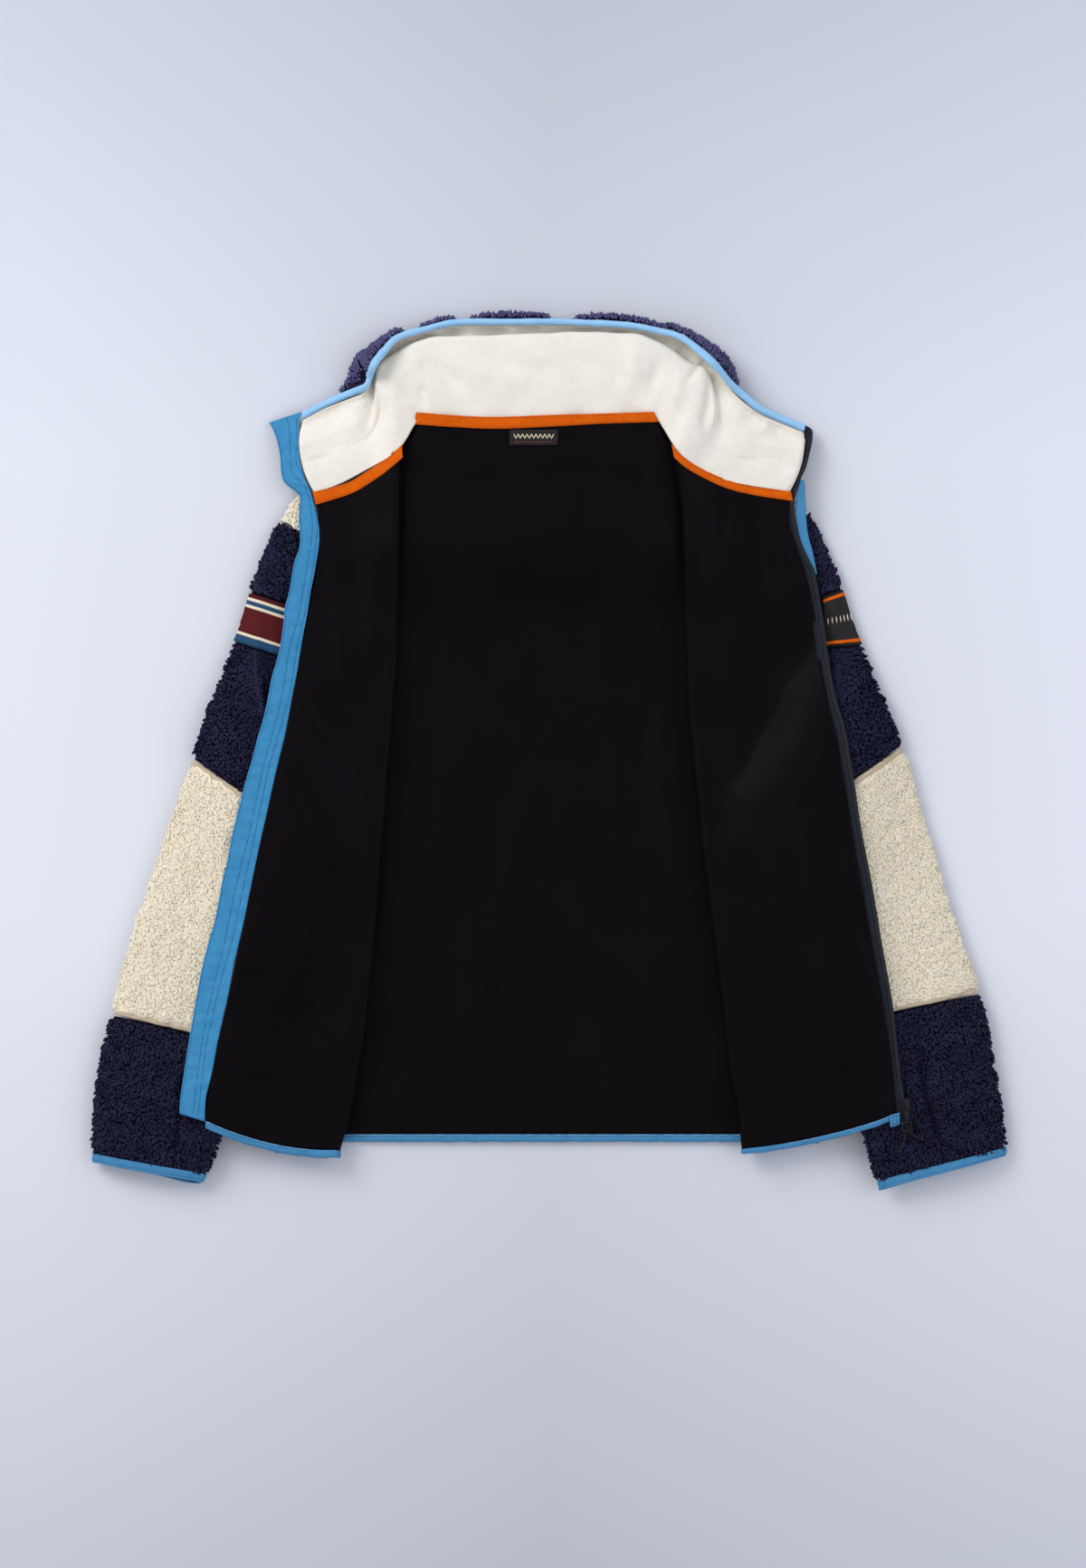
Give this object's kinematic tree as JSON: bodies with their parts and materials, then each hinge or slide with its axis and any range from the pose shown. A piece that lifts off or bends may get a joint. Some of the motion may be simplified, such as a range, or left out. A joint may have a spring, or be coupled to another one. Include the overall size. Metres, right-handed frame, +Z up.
{
  "type": "hooded fleece jacket",
  "caption": "Hooded zip-front fleece jacket lying open on its back, fronts folded out over the sleeves, hood collapsed behind the neck, with taped edges.",
  "frame": {"origin": "centre of the bounding box's base, on the surface the jacket lies on", "axes": "+X to the wearer's left, +Y from hem to hood, +Z up from the surface"},
  "size_m": [0.8766, 0.8382, 0.0498],
  "materials": {
    "navy_pile": "deep pile",
    "cream_pile": "deep pile",
    "black_lining": "smooth matte",
    "cream_fleece": "soft brushed",
    "blue_tape": "woven",
    "pale_blue_binding": "woven",
    "orange_tape": "twill",
    "dark_tape": "woven",
    "dark_metal": "satin",
    "maroon_patch": "woven"
  },
  "bodies": {
    "root": {"back_shell": "navy_pile", "back_lining": "black_lining", "front_right_shell": "navy_pile", "front_left_shell": "navy_pile", "front_right_lining": "black_lining", "front_left_lining": "black_lining", "hem_binding_back": "blue_tape", "hem_binding_right": "blue_tape", "hem_binding_left": "blue_tape", "placket_right": "blue_tape", "zip_tape_right": "dark_tape", "zip_tape_left": "dark_tape", "facing_strip_left": "blue_tape", "yoke_right": "cream_pile", "yoke_left": "cream_pile", "hood_shell": "navy_pile", "hood_lining": "cream_fleece", "hood_rim_binding": "pale_blue_binding", "neck_tape_back": "orange_tape", "neck_tape_right": "orange_tape", "neck_tape_left": "orange_tape", "neck_label": "dark_tape", "patch_sleeve_right": "maroon_patch", "patch_sleeve_left": "dark_tape", "zip_slider": "dark_metal", "zip_pull": "dark_metal", "zip_cord": "dark_tape", "sleeve_right_upper": "navy_pile", "sleeve_right_mid": "cream_pile", "sleeve_right_lower": "navy_pile", "cuff_binding_right": "blue_tape", "sleeve_left_upper": "navy_pile", "sleeve_left_mid": "cream_pile", "sleeve_left_lower": "navy_pile", "cuff_binding_left": "blue_tape"}
  },
  "joints": []
}
